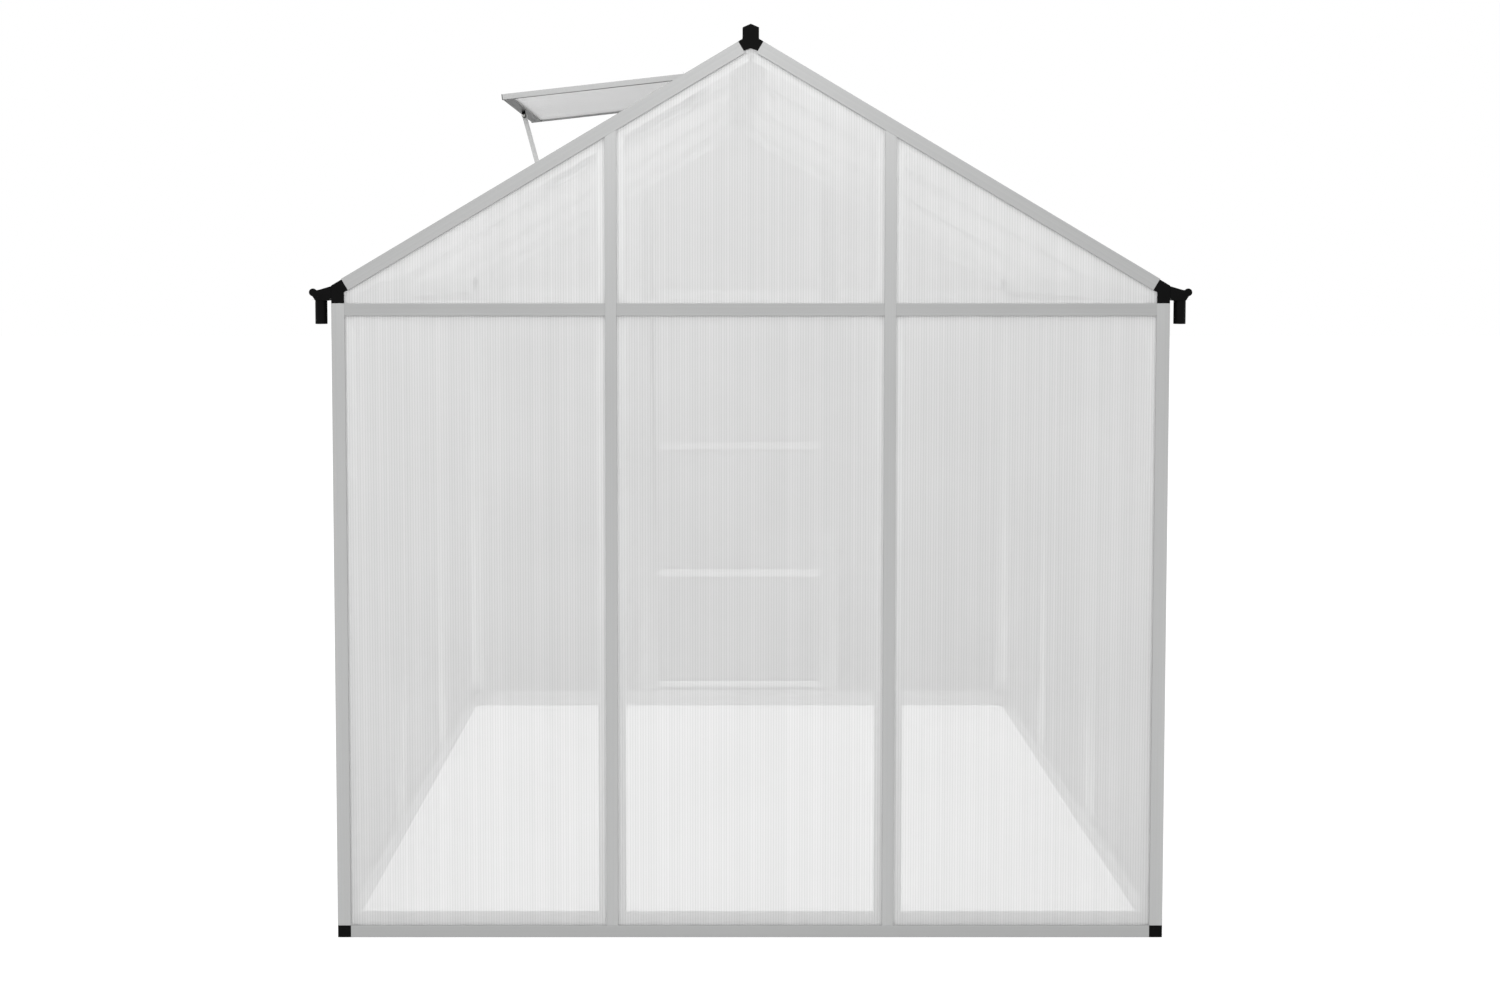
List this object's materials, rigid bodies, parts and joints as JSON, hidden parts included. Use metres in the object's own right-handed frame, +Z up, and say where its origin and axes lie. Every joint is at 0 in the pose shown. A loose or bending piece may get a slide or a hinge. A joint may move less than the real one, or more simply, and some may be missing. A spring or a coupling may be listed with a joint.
{
  "type": "polycarbonate greenhouse",
  "caption": "Walk-in greenhouse with an aluminium frame, milky twin-wall polycarbonate walls and gable roof, raised roof vent, gutters with spouts and a sliding door.",
  "frame": {"origin": "on the ground, at the middle of the whole object's footprint, door handle and gutters included", "axes": "+X across the house, the way the door slides open; +Y towards the front gable with the door; +Z up"},
  "size_m": [2.0004, 1.944, 2.0906],
  "materials": {
    "aluminium": "satin mill finish, extruded",
    "black_plastic": "moulded, slightly satin",
    "polycarbonate": "milky twin-wall sheet with fine ribs"
  },
  "bodies": {
    "house": {"base_rail_rear": "aluminium", "base_rail_front": "aluminium", "base_rail_left": "aluminium", "base_rail_right": "aluminium", "corner_posts": "aluminium", "rear_gable_posts": "aluminium", "front_door_posts": "aluminium", "left_wall_posts": "aluminium", "right_wall_posts": "aluminium", "rear_transoms": "aluminium", "front_transoms": "aluminium", "left_eave_beam": "aluminium", "right_eave_beam": "aluminium", "left_gutter": "aluminium", "right_gutter": "aluminium", "rear_rafters": "aluminium", "front_rafters": "aluminium", "left_roof_bars": "aluminium", "right_roof_bars": "aluminium", "ridge_beam": "aluminium", "vent_trimmers": "aluminium", "vent_side_rails": "aluminium", "vent_end_rails": "aluminium", "vent_stay": "aluminium", "door_track": "aluminium", "door_guide": "aluminium", "base_corner_blocks": "black_plastic", "eave_connectors": "black_plastic", "gutter_outlets": "black_plastic", "ridge_caps": "black_plastic", "vent_pivots": "black_plastic", "vent_pane": "polycarbonate", "rear_lower_panels": "polycarbonate", "rear_gable_panels": "polycarbonate", "front_side_panels": "polycarbonate", "front_gable_panels": "polycarbonate", "left_wall_panels": "polycarbonate", "right_wall_panels": "polycarbonate", "left_roof_panels": "polycarbonate", "right_roof_panels": "polycarbonate"},
    "door": {"door_stiles": "aluminium", "door_rails": "aluminium", "door_rollers": "black_plastic", "door_handle": "black_plastic", "door_panels": "polycarbonate"}
  },
  "joints": [
    {"name": "door_slide", "type": "slide", "parent": "house", "child": "door", "axis": [1, 0, 0], "range_m": [0, 0.6]}
  ]
}
